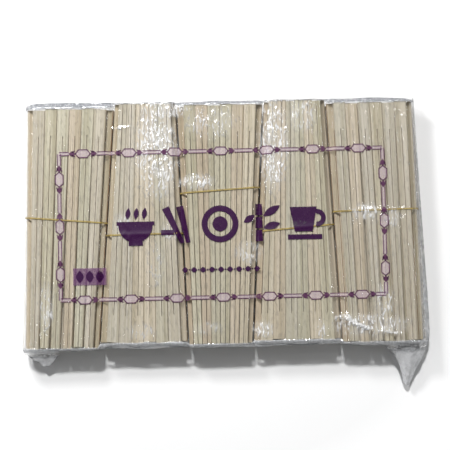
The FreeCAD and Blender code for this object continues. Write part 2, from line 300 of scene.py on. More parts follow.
def makeRow(name, row, bamboo, chance):
    # a packed row's own corners, moved pair by pair, with a grain, a tint and a brownness for each pair
    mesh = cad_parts[name].data
    mesh.calc_loop_triangles()
    corners = np.zeros(len(mesh.loop_triangles) * 3, np.int32)
    mesh.loop_triangles.foreach_get("vertices", corners)
    pairs = len(corners) // 3 // chopsticks["facesPerPair"]
    points = nodePoints(name)[corners].reshape(pairs, -1, 3)  # one block of corners for each pair
    # each pair's axis runs between the middles of its two ends
    edges = pairEnds(points)
    lower, upper = edges.mean(2)
    axis, middle = (upper - lower)[:, :2], (upper + lower) / 2
    axis /= np.linalg.norm(axis, axis=1)[:, None]
    away = points - middle[:, None]
    along = away[..., 0] * axis[:, None, 0] + away[..., 1] * axis[:, None, 1]
    across = away[..., 0] * axis[:, None, 1] - away[..., 1] * axis[:, None, 0]
    # pairs lean sideways where the row has come loose at one end
    inOrder = np.argsort(middle[:, 0])
    loose = (edges[:, inOrder[1:], 0, 0] - edges[:, inOrder[:-1], 1, 0]).mean(1)
    end = -1 if loose[0] > loose[1] else 1
    lean = chopsticks["sway"] * max(loose) * chance.uniform(-1, 1, pairs)[:, None]
    points[..., 0] += lean * np.clip(0.5 + end * points[..., 1] / (2 * stickEnd), 0, 1)
    # the roll turns each pair about its own length, and the lift clears its lower edge
    roll = np.radians(chopsticks["roll"]) * chance.uniform(-1, 1, pairs)[:, None]
    points[..., 2] += across * np.sin(roll) + chopsticks["lift"]
    rounded = np.round(points.reshape(-1, 3), chopsticks["joinDigits"])
    merged, where = np.unique(rounded, axis=0, return_inverse=True)
    piece = newPiece(f"{name}_bamboo", merged, where.reshape(-1, 3).tolist(), bamboo, smooth=False)
    # the grain runs along each pair, and the outermost pairs are the brownest, a painted shade for the
    # seams
    shift = chance.uniform(0, chopsticks["grainShift"], pairs)[:, None]
    grain = np.stack([across + chopsticks["grainDown"] * away[..., 2] + shift, along], -1)
    piece.data.uv_layers.new(name="grain").data.foreach_set("uv", grain.astype(np.float32).ravel())
    perPair = chopsticks["facesPerPair"] * 3
    addValues(piece, "tint", "CORNER", np.repeat(chance.uniform(0, 1, pairs), perPair))
    skin = chance.uniform(0, chopsticks["innerSkin"], pairs)
    skin[inOrder[[0, -1]]] = chopsticks["seamPaintedShade" if row == wideRow else "outerPaintedShade"]
    addValues(piece, "skin", "CORNER", np.repeat(skin, perPair))
    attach(piece, "root")
    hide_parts(name)


bamboo = makeBamboo()
chance = np.random.default_rng(chopsticks["seed"])
for number in bundleNumbers:
    for row in rowNumbers:
        makeRow(f"bundle_{number}_row_{row}", row, bamboo, chance)
print("chopsticks done")


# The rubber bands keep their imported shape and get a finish

rubber = {
    "dark": (0.25, 0.175, 0.035),
    "pale": (0.40, 0.30, 0.09),
    "roughness": 0.55,
    "mottleScale": 260.0,
    "grainScale": 2600.0,
    "grainDepth": 0.08 * mm,
}


def makeRubber():
    # golden yellow, mottled and faintly grained
    material, n = newMaterial("golden rubber")
    mottle = n.noise(n.place(), rubber["mottleScale"], 3.0)
    grain = n.noise(n.place(), rubber["grainScale"], 2.0)
    n.finish(n.add("ShaderNodeBsdfPrincipled", {
        "Base Color": n.ramp(mottle, [(0.35, rubber["dark"]), (0.65, rubber["pale"])]),
        "Roughness": rubber["roughness"], "Normal": n.bump(grain, rubber["grainDepth"], 0.5),
    }))
    return material


rubberFinish = makeRubber()
for number in bundleNumbers:
    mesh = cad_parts[f"bundle_{number}_band"].data
    mesh.materials.clear()
    mesh.materials.append(rubberFinish)
print("bands done")


# The film bag

film = {
    "aboveSticks": 0.55 * mm,
    "valley": 3.2 * mm,         # how deep it sinks between two bundles
    "sideGap": 1.6 * mm,        # from the widest rows to the film
    "endY": 105.2 * mm,         # where it turns down past the sticks' ends
    "endWaves": ((0.5 * mm, 17 * mm), (0.35 * mm, 7.3 * mm)),  # its unevenness: height, length
    "cornerFrom": 158 * mm,     # from here its two corners are rounded
    "cornerRun": 14 * mm,
    "cornerRound": 2.2 * mm,
    "firstRoom": 1.4 * mm,      # more room past the first bundle's ends
    "firstTo": -135 * mm,
    "firstRun": 40 * mm,
    "lowLine": 104.3 * mm,      # the same at the other end, beyond a bundle that isn't shifted
    "lowFollow": 0.5,           # share of each bundle's shift that it follows there
    "lowSlope": 18 * mm,        # the outer part of a bundle where it changes to the next one's
    "bandLift": 0.75 * mm,
    "bandReach": 2.0 * mm,      # the tent over a band falls to about a third in this length
    "bandStart": 4 * mm,        # where the tent begins, from the band's sides
    "bandRun": 5 * mm,
    "shoulder": 6.5 * mm,
    "shoulderDrop": 5.0 * mm,
    "endDrop": 4.2 * mm,
    "pleat": 0.5 * mm,          # the folds along both ends
    "ceiling": 32.1 * mm,       # no crease stands higher
    "softCrest": 0.9 * mm,
    "backZ": 0.12 * mm,
    "sealZ": 13.0 * mm,
    "sheetGap": 0.15 * mm,      # half the distance between the two sealed sheets
    "wallBulge": 0.6 * mm,
    "earDroop": 6.0 * mm,       # how far the longest spare corner hangs down
    "earLongest": 38 * mm,
    "earFull": 3 * mm,          # a spare corner this long has taken the plain wall's place
    "sideSteps": 11,            # columns from the pack out to the sealed line
    "sideBulge": 1.0 * mm,
    "sideEnd": 105 * mm,        # half the length of the sealed line, without its points
    "lowPoint": 7 * mm,         # how far its points stand out
    "lowPointLeft": 3 * mm,
    "highPoint": 2.5 * mm,
    "finShares": (0.25, 0.5, 0.75, 1.0),
    "finWave": 1.1 * mm,        # where the fin is as wide as the next value
    "finUsual": 6 * mm,
    "halfWidth": 168 * mm,      # about half the pack's width, to find each column's ends with
    "columns": 286,
    "frontRows": 160,
    "wallRows": 28,
    "backRows": 20,
    "seed": 5,
}

# Main creases, in millimetres from the pack's middle: X, Y, direction in degrees, length, width, height
mainCreases = [
    (-86, 83, 3, 30, 0.75, 1.15), (-57, 88, -78, 30, 1.3, 0.5), (-50, 70, -84, 44, 1.2, 0.5),
    (-62, 45, 70, 20, 1.3, 0.45), (-14, 90, -72, 22, 0.9, 1.15), (-8, 90, 66, 22, 0.9, 1.15),
    (-20, 34, 8, 40, 1.6, 0.7), (64, 90, 52, 26, 1.2, 0.7), (70, 92, -50, 24, 1.2, 0.6),
    (44, 80, 82, 40, 1.2, 0.45), (80, 60, -80, 60, 1.1, 0.35), (134, 6, 12, 16, 1.6, 0.7),
    (98, -80, -16, 26, 1.7, 0.9), (120, -90, -18, 34, 1.8, 1.0), (143, -96, -8, 24, 1.5, 0.8),
    (160, -82, 62, 34, 1.6, 0.9), (-12, -88, -6, 22, 1.4, 0.6), (-8, -18, -55, 20, 1.2, 0.5),
    (-70, -20, -35, 16, 1.3, 0.5), (24, -34, -60, 22, 1.2, 0.4), (62, -90, 84, 18, 1.3, 0.6),
    (99, -81, 8, 24, 3.4, 1.5), (113, -87, -24, 30, 3.4, 1.6), (138, -94, -9, 44, 3.0, 1.2),
    (92, -97, 78, 16, 1.8, 0.7),
]

# Crumpled patches, in millimetres: the middle X and Y, half the width and height, how many crinkles,
# their direction and its spread in degrees, the height of a crinkle, and how crumpled the film is
# the crumpled patches also take a painted sheen and painted glints in the film's material
patches = [
    (-55, 62, 19, 42, 50, 20, 35, 0.42, 1.12), (-8, 86, 26, 16, 26, 60, 60, 0.4, 0.7),
    (-21, 36, 16, 7, 8, 5, 20, 0.4, 1.0), (45, 66, 13, 42, 34, 15, 40, 0.42, 1.1),
    (70, 90, 12, 15, 16, 40, 70, 0.4, 0.9), (122, 8, 14, 7, 10, 15, 60, 0.4, 0.9),
    (144, 2, 9, 8, 8, -10, 60, 0.5, 1.0), (-84, 0, 9, 12, 8, -50, 50, 0.4, 0.8),
    (-44, -6, 8, 8, 6, 40, 60, 0.4, 0.8), (22, -25, 13, 11, 10, -45, 50, 0.4, 0.8),
    (122, -88, 36, 10, 22, -14, 40, 0.5, 1.0), (-150, -68, 8, 22, 14, 10, 60, 0.35, 0.8),
    (-57, -34, 9, 24, 12, -60, 50, 0.32, 0.6), (33, -90, 10, 8, 10, 20, 90, 0.45, 1.0),
    (136, -68, 8, 16, 14, 30, 80, 0.4, 1.0), (82, -90, 6, 9, 6, 80, 60, 0.45, 0.9),
    (-15, -88, 16, 6, 8, 0, 40, 0.4, 0.7), (-70, -90, 14, 8, 8, 70, 60, 0.35, 0.7),
    (-46, 98, 22, 8, 14, 60, 80, 0.4, 1.1), (0, 0, 160, 98, 120, 0, 180, 0.16, 0.0),
]


def listCreases():
    # the main creases, then seeded crinkles spread over each patch
    chance = np.random.default_rng(film["seed"])
    creases = [np.array(mainCreases, float)]
    for x, y, halfX, halfY, count, turn, spread, height, _ in patches:
        creases.append(np.stack([
            x + halfX * chance.uniform(-1, 1, count),
            y + halfY * chance.uniform(-1, 1, count),
            turn * chance.choice((-1, 1), count) + spread * chance.uniform(-0.5, 0.5, count),
            chance.uniform(4, 13, count),
            chance.uniform(0.9, 1.5, count),
            height * chance.uniform(0.5, 1.3, count),
        ], -1))
    return np.concatenate(creases)


creases = listCreases()
largeCreases = creases[creases[:, 5] > 1.1]  # by their height in millimetres


def creaseHeight(x, y, some=creases):
    # each crease is a sharp bell across its line, fading out to both of its ends
    total = np.zeros_like(x)
    for cx, cy, turn, length, width, height in some:
        dx, dy = x - cx * mm, y - cy * mm
        near = (np.abs(dx) < length * mm) & (np.abs(dy) < length * mm)
        sine, cosine = math.sin(math.radians(turn)), math.cos(math.radians(turn))
        along = dx[near] * cosine + dy[near] * sine
        across = dy[near] * cosine - dx[near] * sine
        fade = np.clip(1 - (2 * along / (length * mm)) ** 2, 0, None)
        total[near] += height * mm * np.exp(-np.abs(across / (width * mm)) ** 1.4) * fade
    return total


def sideAt(y, side):
    # the film's outer line beside the first or the last bundle
    last = bundles[-1] if side > 0 else bundles[0]
    return edgeAt(last["wide"][1 if side > 0 else 0], y) + side * film["sideGap"]


def endAt(x, side):
    # the line where the film turns down past the ends, uneven by a long and a short sine: straight at
    # +Y with rounded corners, and half following the bundles' own ends at -Y
    (longHeight, longLength), (shortHeight, shortLength) = film["endWaves"]
    wave = longHeight * np.sin(x / longLength + side) + shortHeight * np.sin(x / shortLength + 2 * side)
    if side < 0:
        shifted = sticksEnd(x, side, film["lowSlope"]) - stickEnd
        return film["lowLine"] + film["lowFollow"] * shifted + wave
    corner = film["cornerRound"] * smoothStep((np.abs(x) - film["cornerFrom"]) / film["cornerRun"])
    room = film["firstRoom"] * (1 - smoothStep((x - film["firstTo"]) / film["firstRun"]))
    return film["endY"] + 0.7 * wave - corner + room


def filmHeight(x, y):
    # level over the sticks, cosine valleys between bundles, rounded shoulders, tents over the bands,
    # pleats past the sticks' ends, and the creases on top, flattening out under the ceiling
    z = np.full_like(x, stickTop + film["aboveSticks"])
    for left, right in zip(bundles, bundles[1:]):
        seam = (edgeAt(left["wide"][1], y) + edgeAt(right["wide"][0], y)) / 2
        half = (edgeAt(right["narrow"][0], y) - edgeAt(left["narrow"][1], y)) / 2
        share = np.clip(np.abs(x - seam) / half, 0, 1)
        z -= film["valley"] * (0.5 + 0.5 * np.cos(math.pi * share)) ** 1.3
    inside = np.minimum(x - sideAt(y, -1), sideAt(y, 1) - x)
    z -= film["shoulderDrop"] * (1 - smoothStep(inside / film["shoulder"])) ** 1.4
    for side in (-1, 1):
        sticks = sticksEnd(x, side)
        past = (side * y - sticks) / np.maximum(endAt(x, side) - sticks, 0.8 * mm)
        z -= film["endDrop"] * smoothStep(past) ** 1.2
        pleats = np.sin(8.5 * past + 1.6 * np.sin(x / (14 * mm)) + 1.1 * np.sin(x / (5.5 * mm) + side))
        z += film["pleat"] * pleats * smoothStep(past * 2.5) * (1 - smoothStep(past - 1))
    for b in bundles:
        (left, right), (leftY, rightY) = b["bandX"], b["bandY"]
        bandY = leftY + (rightY - leftY) * (x - left) / (right - left)
        start, run = film["bandStart"], film["bandRun"]
        over = smoothStep((x - left - start) / run) * smoothStep((right - start - x) / run)
        z += film["bandLift"] * over * np.exp(-np.abs(y - bandY) / film["bandReach"])
    z += creaseHeight(x, y)
    soft = film["softCrest"]
    over = np.maximum(z - film["ceiling"] + soft, 0)
    return z - over + soft * np.tanh(over / soft)


# Spare film, in millimetres: the fin's width on the right at places in Y and on the left all along, and
# how far the corners run past the -Y end at places in X, a short one on the left and a long one right
rightFin = [
    (-112, 2.0), (-103, 4.8), (-95, 6.2), (-60, 5.8), (-38, 4.0), (-14, 2.6), (40, 2.4), (104, 2.4),
]
leftFin = 0.9
spareCorners = [
    (-172, 1), (-165, 6), (-155, 13), (-148, 12), (-139, 0), (134, 0), (143, 7), (149, 17), (154, 36),
    (158, 37.5), (163, 24), (168, 14), (171, 8),
]


def finWidth(y, side):
    # straight from each of the places to the next
    places, widths = np.transpose(rightFin) * mm
    return np.interp(y, places, widths) if side > 0 else np.full_like(y, leftFin * mm)


def earLength(x):
    # straight from each of the places to the next
    places, lengths = np.transpose(spareCorners) * mm
    return np.interp(x, places, lengths)


def wallPoints(x, end, topZ, side):
    # one end wall, from its top edge to the back sheet: a plain bulging wall, mixed with a wall that
    # runs out along the spare corner's top sheet and back along its lower one
    t = (np.arange(film["wallRows"]) + 1.0)[:, None] / (film["wallRows"] + 1)
    ripple = 0.7 * np.sin(x / (11 * mm) + 9 * t) + 0.5 * np.sin(x / (4.7 * mm) - 13 * t)
    plainY = end + film["wallBulge"] * (1 + ripple) * np.sin(math.pi * t)
    plainZ = topZ * (1 - t) + film["backZ"] * t
    # down to the sealed line, out and back along it, then down to the back sheet
    ear = earLength(x) if side < 0 else np.zeros_like(x)
    down = np.clip(t / 0.45, 0, 1), np.clip((t - 0.55) / 0.45, 0, 1)
    level = down[0] - down[1]
    out = 1 - np.abs(np.clip((t - 0.08) / 0.84, 0, 1) * 2 - 1)
    droop = film["earDroop"] * (out * ear / film["earLongest"]) ** 2
    crimp = (1.2 * np.sin(x / (1.7 * mm) + 4 * out) + 0.5 * np.sin(x / (0.9 * mm) - 9 * out)) * out * mm
    gap = film["sheetGap"] * np.where(t < 0.5, 1, -1) * (1 - out)
    earY = end + ear * out
    earZ = topZ * (1 - down[0]) + film["sealZ"] * level + film["backZ"] * down[1]
    earZ = earZ + gap + (crimp - droop) * level
    share = smoothStep(ear / film["earFull"])
    return side * (plainY * (1 - share) + earY * share), plainZ * (1 - share) + earZ * share


def filmSurface():
    # loops round the section in Y and Z, one for each column across X: the front from +Y to -Y, the
    # -Y wall, the back and the +Y wall; rows are closer together near the ends
    s = np.linspace(-1, 1, film["columns"])
    even = np.linspace(1, -1, film["frontRows"])
    r = (even * 0.88 + 0.12 * np.sign(even) * np.abs(even) ** 0.25)[:, None]
    r = np.sign(r) * (1 - (1 - np.abs(r)) ** 1.12)
    guess = s * film["halfWidth"]
    y = np.where(r > 0, r * endAt(guess, 1), r * endAt(guess, -1))
    left, right = sideAt(y, -1), sideAt(y, 1)
    x = (left + right) / 2 + s * (right - left) / 2
    front = np.stack([x, y, filmHeight(x, y)], -1)
    loops = [front]
    lowX, lowEnd = x[-1], -y[-1]
    wallY, wallZ = wallPoints(lowX, lowEnd, front[-1, :, 2], -1)
    loops.append(np.stack([lowX + 0 * wallY, wallY, wallZ], -1))
    b = np.linspace(-1, 1, film["backRows"])[:, None]
    backY = np.where(b < 0, -b * y[-1], b * y[0])
    backX = lowX + (x[0] - lowX) * (b + 1) / 2
    backZ = film["backZ"] + 0.05 * mm * np.sin(backX / (13 * mm)) * np.cos(backY / (11 * mm))
    loops.append(np.stack([backX, backY, backZ], -1))
    wallY, wallZ = wallPoints(x[0], y[0], front[0, :, 2], 1)
    loops.append(np.stack([x[0] + 0 * wallY, wallY, wallZ], -1)[::-1])
    return np.concatenate(loops)


def closeSide(loops, side):
    # the columns past one side, flattening to the sealed line and its fin, from the pack outwards
    base = loops[:, -1 if side > 0 else 0]
    n, w = film["frontRows"], film["wallRows"]
    back = n + w + film["backRows"]
    # the upper sheet is the front with the upper half of both end walls
    upper = np.zeros(len(base), bool)
    upper[:n + w // 2] = True
    upper[back + w // 2:] = True
    flatZ = film["sealZ"] + film["sheetGap"] * np.where(upper, 1, -1)
    # along the sealed line the end walls fold to a point
    fold = 1 - np.abs(2 * (np.arange(w) + 1.0) / (w + 1) - 1)
    flatY = np.clip(base[:, 1], -film["sideEnd"], film["sideEnd"])
    flatY[n:n + w] -= fold * film["lowPoint" if side > 0 else "lowPointLeft"]
    flatY[back:] += fold * film["highPoint"]
    columns = []
    for step in range(1, film["sideSteps"] + 1):
        e = step / film["sideSteps"]
        ease = smoothStep(e) if side > 0 else e
        bulge = film["sideBulge"] * math.sin(math.pi * e) * (1 + 0.6 * np.sin(base[:, 1] / (9 * mm)))
        columns.append(np.stack([
            base[:, 0] + side * bulge,
            base[:, 1] * (1 - ease) + flatY * ease,
            base[:, 2] * (1 - e) + flatZ * e,
        ], -1))
    fin = finWidth(flatY, side)
    for share in film["finShares"]:
        wide = share * fin / film["finUsual"]
        wave = film["finWave"] * wide * np.sin(flatY / (3.1 * mm) + 2.5 * share)
        columns.append(np.stack([base[:, 0] + side * fin * share, flatY, flatZ + wave], -1))
    extra = np.stack(columns, 1)
    return extra if side > 0 else extra[:, ::-1]


crushing = {
    "endStart": 1.6 * mm,      # it begins this far inside the sticks' ends
    "endRun": 1.8 * mm,
    "endLow": 0.15,            # how folded an end wall is below, and how much more above this height
    "endMore": 0.75,
    "endHeight": 20 * mm,
    "endRise": 6 * mm,
    "fin": 0.9,
    "finStart": 0.6 * mm,
    "finRun": 3 * mm,
    "cornerStart": 106.5 * mm,
    "cornerRun": 5 * mm,
    "backRise": 4 * mm,        # the back is plain
    "everywhere": 0.22,        # how crumpled the plain film is
    "patchCore": 0.45,         # share of a patch's size where it begins to fade
    "patchFade": 1.0,
    "crestHeight": 1.3 * mm,
    "crestHighlight": 2.4,              # how crumpled a crease of that height is, whitened along its crest as a painted highlight
    "crestMost": 2.5,
    "shadeRun": 1.2 * mm,      # where the painted shade sets in, inside the sticks' +Y ends
}


def foldedness(points):
    # how much doubled, crushed film there is: past the sticks' ends, in the fins, most in the corners
    x, y, z = points.T
    c = crushing
    side = np.sign(y)
    past = np.where(side > 0, y - sticksEnd(x, 1), -y - sticksEnd(x, -1))
    high = c["endLow"] + c["endMore"] * smoothStep((z - c["endHeight"]) / c["endRise"])
    ends = smoothStep((past + c["endStart"]) / c["endRun"]) * high
    beyond = np.maximum(x - sideAt(y, 1), sideAt(y, -1) - x)
    fins = c["fin"] * smoothStep((beyond - c["finStart"]) / c["finRun"])
    corners = smoothStep((-y - c["cornerStart"]) / c["cornerRun"])
    return np.maximum.reduce([ends, fins, corners]) * smoothStep(z / c["backRise"])


def crumpledness(points, folds):
    # soft-edged ovals over the patches, the crests of the large creases, whose share is a painted
    # highlight along them, and all the folded film
    x, y, _ = points.T
    amount = np.full(len(x), crushing["everywhere"])
    for cx, cy, halfX, halfY, *_, strength in patches:
        reach = np.hypot((x - cx * mm) / (halfX * mm), (y - cy * mm) / (halfY * mm))
        fade = smoothStep((reach - crushing["patchCore"]) / crushing["patchFade"])
        amount = np.maximum(amount, strength * (1 - fade))
    crestHighlights = crushing["crestHighlight"] * (creaseHeight(x, y, largeCreases) / crushing["crestHeight"]) ** 3
    return np.maximum.reduce([amount, np.minimum(crestHighlights, crushing["crestMost"]), smoothStep(folds * 2)])


filmLook = {
    "clear": 0.038,               # share of the flat film that reflects or hides what is below
    "folded": 0.85,               # more of it where the film is doubled and crushed
    "grazing": 0.75,
    "face": (0.9, 0.9, 0.9),
    "crushed": (0.52, 0.53, 0.545),
    # the spare corners: their own crushed grey, lightened as painted light where they face away from the
    # lamps and lie in the pack's shadow
    "corner": (0.76, 0.765, 0.78),
    # painted shade: the dark grey of the film past the sticks' +Y ends
    "paintedShade": (0.20, 0.21, 0.23),
    "crumpledSheen": 0.24,             # and in painted glints, short white dashes where the film is crumpled
    "stroke": 0.7,                # and along its sharpest crinkles
    "glintWhite": 0.3,           # how much these painted glints whiten grey film
    "most": 0.9,
    "roughness": 0.11,
    "ridge": 0.30 * mm,
    "ripple": 0.26 * mm,
    "wander": (0.008, 0.008, 0.0),  # how far the crumple lines are bent, in metres
    "cellScale": 240.0,             # to a metre, as the other scales are
    "rippleScale": 420.0,
    "glintDashScale": 560.0,
    "glintDashes": ((1.05, 0.58), (-0.9, 0.6), (0.1, 0.63)),  # the painted glints' dashes: direction, and the noise at which they begin
    "glintDashEdge": 0.09,
}


def makeFilm():
    # a mirror-like skin over a see-through sheet: more skin at a slant and in folds, crumple lines from
    # the edges between cells of a distorted Voronoi pattern, painted glints as white dashes from noise
    # stretched three ways, and where it is crumpled its own milkiness with a painted sheen
    material, n = newMaterial("clear film")
    place = n.place()
    folds, crumple = n.attribute("fold"), n.attribute("crumple")
    wander = n.add("ShaderNodeTexNoise", {"Vector": place, "Scale": 70.0, "Detail": 2.0}).outputs["Color"]
    bent = n.add("ShaderNodeVectorMath", {0: wander, 1: filmLook["wander"]}, operation="MULTIPLY")
    moved = n.add("ShaderNodeVectorMath", {0: place, 1: bent.outputs[0]}, operation="ADD").outputs[0]
    pattern = {"Vector": n.scaled(moved, (1.0, 0.55, 1.0), 0.3), "Scale": filmLook["cellScale"]}
    cells = n.add("ShaderNodeTexVoronoi", pattern, feature="DISTANCE_TO_EDGE").outputs["Distance"]
    ridges = n.math("POWER", n.ranged(cells, 1.0, 0.0, 0.0, 0.2), 1.7)
    patchy = n.ranged(n.noise(place, 85.0, 2.0), 0.15, 1.0, 0.36, 0.62)
    ridges = n.math("MULTIPLY", n.math("MULTIPLY", ridges, crumple), patchy)
    glintDashes = []
    for turn, low in filmLook["glintDashes"]:
        stretched = n.noise(n.scaled(moved, (1.0, 0.3, 1.0), turn), filmLook["glintDashScale"], 1.0)
        glintDashes.append(n.ranged(stretched, 0.0, 1.0, low, low + filmLook["glintDashEdge"]))
    strongestGlintDash = n.math("MAXIMUM", n.math("MAXIMUM", glintDashes[0], glintDashes[1]), glintDashes[2])
    # painted glints: the dashes make the film opaque and white where it is crumpled
    paintedGlintStrokes = n.math("MULTIPLY", strongestGlintDash, crumple)
    normal = n.bump(ridges, filmLook["ridge"], 1.0)
    for scale, turn in (((1.0, 0.3, 1.0), 0.6), ((0.3, 1.0, 1.0), -0.35)):
        ripples = n.noise(n.scaled(moved, scale, turn), filmLook["rippleScale"], 1.0)
        normal = n.bump(n.math("MULTIPLY", ripples, crumple), filmLook["ripple"], 1.0, normal)
    slant = n.add("ShaderNodeLayerWeight", {"Blend": 0.5, "Normal": normal}).outputs["Facing"]
    steep = n.ranged(n.math("POWER", slant, 4.0), 0.0, filmLook["grazing"])
    low, high = 0.6 * filmLook["folded"], 1.3 * filmLook["folded"]
    uneven = n.ranged(n.noise(moved, 260.0, 3.0), low, high, 0.3, 0.7)
    crushed = n.math("MULTIPLY", folds, uneven)
    # milky film where it is crumpled: partly its own whitening, partly a painted sheen
    milkyPaintedSheen = n.math("MULTIPLY", n.math("POWER", crumple, 2.0), patchy)
    crumpledSheen = n.math("MULTIPLY", milkyPaintedSheen, filmLook["crumpledSheen"])
    crumpledSheen = n.math("ADD", crumpledSheen, n.math("MULTIPLY", paintedGlintStrokes, filmLook["stroke"]))
    amount = n.math("ADD", n.math("ADD", steep, filmLook["clear"]), n.math("ADD", crushed, crumpledSheen))
    amount = n.add("ShaderNodeClamp", {"Value": amount, "Max": filmLook["most"]}).outputs[0]
    # the folded film's grey; the spare corners' lighter grey is partly painted light, as they lie in
    # shade
    colour = n.ramp(folds, [
        (0.0, filmLook["face"]), (0.8, filmLook["crushed"]), (0.92, filmLook["crushed"]),
        (1.0, filmLook["corner"]),
    ])
    # painted shade: film past the sticks' +Y ends turns dark grey
    colour = n.mixed(n.attribute("shade"), colour, filmLook["paintedShade"])
    glintWhitened = n.math("MULTIPLY", paintedGlintStrokes, filmLook["glintWhite"])
    skin = n.add("ShaderNodeBsdfPrincipled", {
        "Base Color": n.mixed(glintWhitened, colour, filmLook["face"]),
        "Metallic": n.ranged(n.math("MAXIMUM", folds, crumple), 0.95, 0.15, 0.22, 0.8),
        "Roughness": filmLook["roughness"], "Normal": normal,
    })
    clear = n.add("ShaderNodeBsdfTransparent")
    n.finish(n.add("ShaderNodeMixShader", {"Fac": amount, 1: clear.outputs[0], 2: skin.outputs[0]}))
    return material


filmFinish = makeFilm()


def markFilm(piece, points):
    # what the film's material reads: folds, crumpling, and a painted shade from the +Y edge outwards
    folds = foldedness(points)
    addValues(piece, "fold", "POINT", folds)
    addValues(piece, "crumple", "POINT", crumpledness(points, folds))
    inside = sticksEnd(points[:, 0], 1) - points[:, 1]
    addValues(piece, "shade", "POINT", smoothStep(1 - inside / crushing["shadeRun"]))
    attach(piece, "root")


def makeBag():
    # one closed surface: the loops, the columns past both sides, and a face over each open edge
    loops = filmSurface()
    loops = np.concatenate([closeSide(loops, -1), loops, closeSide(loops, 1)], 1)
    rows, columns = loops.shape[:2]
    quads = gridQuads(rows, columns, closed=True)[:, ::-1].tolist()
    first = (np.arange(rows) * columns)[::-1].tolist()
    last = (np.arange(rows) * columns + columns - 1).tolist()
    points = loops.reshape(-1, 3)
    piece = newPiece("clear_bag", points, quads + [first, last], filmFinish)
    markFilm(piece, points)
    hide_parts("bag", "right_seal", "left_seal")


makeBag()
print("film bag done")


# The print on the film's outer face: a chain border, five simple pictures and two small ornaments

printed = {
    "fieldAbove": 0.12 * mm,   # the pale fields, clear of the film's outer face
    "lineAbove": 0.2 * mm,     # the lines and pictures, clear of the fields
    "cell": 1.3 * mm,          # longest side of the small squares that follow the film
    "halfX": 137.3 * mm,
    "halfY": 62.0 * mm,
    "linkPitch": 39.0 * mm,
    "sidePitch": 40.3 * mm,
    "linkLength": 12.6 * mm,
    "linkHeight": 6.6 * mm,
    "linkSlant": 2.6 * mm,     # how far its pointed ends run in
    "stroke": 0.85 * mm,
    "knotLength": 6.2 * mm,
    "knotHeight": 4.6 * mm,
    "railHeight": 3.4 * mm,
    "railStroke": 0.72 * mm,
    "speckleScale": 900.0,
    "purple": (0.030, 0.001, 0.040),
    "line": (0.095, 0.030, 0.080),
    "pink": (0.66, 0.53, 0.60),
    "field": (0.16, 0.06, 0.17),
}


class PrintLayer:
    # collects flat patches in X and Y, each a grid of points; its piece drapes them on the film
    def __init__(self):
        self.points = []
        self.faces = []
        self.count = 0

    def patch(self, x, y):
        # turned over where its grid runs clockwise, so that every face points up
        down, along = (slice(None), slice(-1)), (slice(-1), slice(None))
        area = np.diff(x, axis=0)[down] * np.diff(y, axis=1)[along]
        area = area - np.diff(x, axis=1)[along] * np.diff(y, axis=0)[down]
        quads = gridQuads(*x.shape, start=self.count)
        self.faces += (quads[:, ::-1] if area.sum() > 0 else quads).tolist()
        self.points.append(np.stack([x.ravel(), y.ravel()], -1))
        self.count += x.size

    def piece(self, name, material, above):
        flat = np.concatenate(self.points)
        z = filmHeight(flat[:, 0], flat[:, 1]) + above
        piece = newPiece(name, np.column_stack([flat, z]), self.faces, material)
        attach(piece, "root")


def spread(length, least=2):
    # how many grid lines keep the cells short along this length
    return max(least, int(math.ceil(length / printed["cell"])) + 1)


def ribbon(layer, start, end, t, width, most):
    # a strip along the line from start to end: each share t of its length has its own width
    (x0, y0), (x1, y1) = start, end
    length = math.hypot(x1 - x0, y1 - y0)
    ux, uy = (x1 - x0) / length, (y1 - y0) / length
    across = np.linspace(-0.5, 0.5, spread(most))[None, :] * width
    layer.patch(x0 + ux * length * t - uy * across, y0 + uy * length * t + ux * across)


def bar(layer, start, end, startWidth, endWidth=None):
    # a straight bar whose width runs evenly from one end to the other
    endWidth = endWidth or startWidth
    t = np.linspace(0, 1, spread(math.dist(start, end)))[:, None]
    ribbon(layer, start, end, t, startWidth + (endWidth - startWidth) * t, max(startWidth, endWidth))


def arcBand(layer, centre, inner, outer, start, end):
    # part of a ring: radius by angle
    a = np.radians(np.linspace(start, end, spread(outer * math.radians(abs(end - start)), 9)))[:, None]
    r = np.linspace(inner, outer, spread(outer - inner))[None, :]
    layer.patch(centre[0] + r * np.cos(a), centre[1] + r * np.sin(a))


def leaf(layer, start, end, width, power=0.9):
    # a pointed oval: its width follows a half sine along its length, sharper with a higher power
    t = np.linspace(0.001, 0.999, spread(math.dist(start, end), 12))[:, None]
    ribbon(layer, start, end, t, width * np.sin(math.pi * t) ** power, width)


def outlineRing(layer, corners, stroke):
    # a closed outline of even width: one bar for each side, carried a little past both of its corners
    for (x0, y0), (x1, y1) in zip(corners, corners[1:] + corners[:1]):
        past = 0.35 * stroke / math.hypot(x1 - x0, y1 - y0)
        dx, dy = (x1 - x0) * past, (y1 - y0) * past
        bar(layer, (x0 - dx, y0 - dy), (x1 + dx, y1 + dy), stroke)


def fillSix(layer, centre, halfLength, halfHeight, slant, upright):
    # the inside of a six-cornered link: its half-height shrinks linearly over the slanted ends
    t = np.linspace(-0.98, 0.98, spread(2 * halfLength, 9))[:, None] * halfLength
    c = np.linspace(-1, 1, spread(2 * halfHeight))[None, :]
    half = halfHeight * np.clip((halfLength - np.abs(t)) / slant, 0, 1)
    along, across = t + 0 * c, c * half
    if upright:
        along, across = across, along
    layer.patch(centre[0] + along, centre[1] + across)


def turned(centre, points, upright):
    # points given along and across, as places about a centre
    return [(centre[0] + (v if upright else u), centre[1] + (u if upright else v)) for u, v in points]


